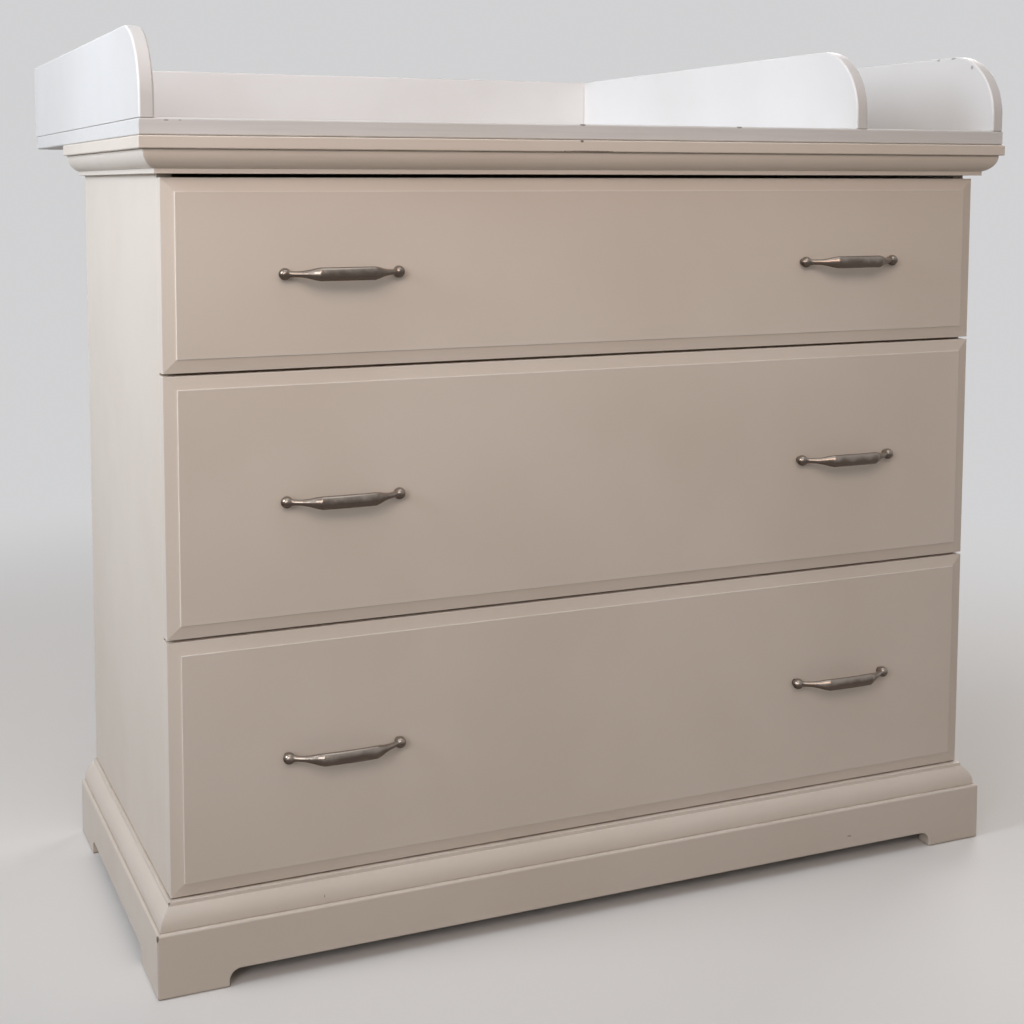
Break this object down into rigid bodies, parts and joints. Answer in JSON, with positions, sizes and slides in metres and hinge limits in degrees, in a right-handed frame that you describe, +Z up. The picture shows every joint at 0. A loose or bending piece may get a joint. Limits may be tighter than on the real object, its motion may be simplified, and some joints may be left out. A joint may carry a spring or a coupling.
{
  "type": "changing dresser",
  "caption": "Chest of drawers with a moulded crown and bracket-foot plinth, and a baby-changing top with raised sides and a narrow side bay.",
  "frame": {"origin": "on the floor, under the middle of the whole object's bounding box", "axes": "+Z up, the drawers face -Y, +X to the right of someone who stands in front of the drawers"},
  "size_m": [1.094, 0.7368, 1.017],
  "materials": {
    "cream_paint": "antique-white satin paint on board",
    "white_paint": "cool white satin paint on board",
    "carcass_wood": "planed softwood, unpainted",
    "drawer_box_wood": "planed softwood, clear sealed",
    "runner_hardwood": "waxed hardwood",
    "hardboard": "smooth hardboard",
    "antique_pewter": "antiqued dark pewter",
    "zinc_plated_steel": "zinc plate"
  },
  "bodies": {
    "carcass": {"side_panel_left": "cream_paint", "side_panel_right": "cream_paint", "dresser_top": "cream_paint", "crown_front": "cream_paint", "crown_left": "cream_paint", "crown_right": "cream_paint", "base_moulding_front": "cream_paint", "base_moulding_left": "cream_paint", "base_moulding_right": "cream_paint", "plinth_front": "cream_paint", "plinth_left": "cream_paint", "plinth_right": "cream_paint", "base_rail_front": "cream_paint", "changing_board": "white_paint", "topper_side_left": "white_paint", "topper_divider": "white_paint", "topper_side_right": "white_paint", "topper_back": "white_paint", "bottom_panel": "carcass_wood", "top_rail_front": "carcass_wood", "top_rail_back": "carcass_wood", "rail_upper": "carcass_wood", "rail_lower": "carcass_wood", "base_rail_back": "carcass_wood", "corner_blocks": "carcass_wood", "back_panel": "hardboard", "runner_top_left": "runner_hardwood", "runner_top_right": "runner_hardwood", "runner_middle_left": "runner_hardwood", "runner_middle_right": "runner_hardwood", "runner_bottom_left": "runner_hardwood", "runner_bottom_right": "runner_hardwood", "runner_screws": "zinc_plated_steel", "topper_screws": "zinc_plated_steel", "bracket_screws": "zinc_plated_steel", "fixing_brackets": "zinc_plated_steel"},
    "drawer_top": {"drawer_top_front": "cream_paint", "handle_top_left": "antique_pewter", "handle_top_right": "antique_pewter", "handle_bolts_top": "zinc_plated_steel", "drawer_top_side_left": "drawer_box_wood", "drawer_top_side_right": "drawer_box_wood", "drawer_top_back": "drawer_box_wood", "drawer_top_bottom": "hardboard"},
    "drawer_middle": {"drawer_middle_front": "cream_paint", "handle_middle_left": "antique_pewter", "handle_middle_right": "antique_pewter", "handle_bolts_middle": "zinc_plated_steel", "drawer_middle_side_left": "drawer_box_wood", "drawer_middle_side_right": "drawer_box_wood", "drawer_middle_back": "drawer_box_wood", "drawer_middle_bottom": "hardboard"},
    "drawer_bottom": {"drawer_bottom_front": "cream_paint", "handle_bottom_left": "antique_pewter", "handle_bottom_right": "antique_pewter", "handle_bolts_bottom": "zinc_plated_steel", "drawer_bottom_side_left": "drawer_box_wood", "drawer_bottom_side_right": "drawer_box_wood", "drawer_bottom_back": "drawer_box_wood", "drawer_bottom_bottom": "hardboard"}
  },
  "joints": [
    {"name": "drawer_top_slide", "type": "slide", "parent": "carcass", "child": "drawer_top", "axis": [0, -1, 0], "range_m": [0, 0.3]},
    {"name": "drawer_middle_slide", "type": "slide", "parent": "carcass", "child": "drawer_middle", "axis": [0, -1, 0], "range_m": [0, 0.3]},
    {"name": "drawer_bottom_slide", "type": "slide", "parent": "carcass", "child": "drawer_bottom", "axis": [0, -1, 0], "range_m": [0, 0.3]}
  ]
}
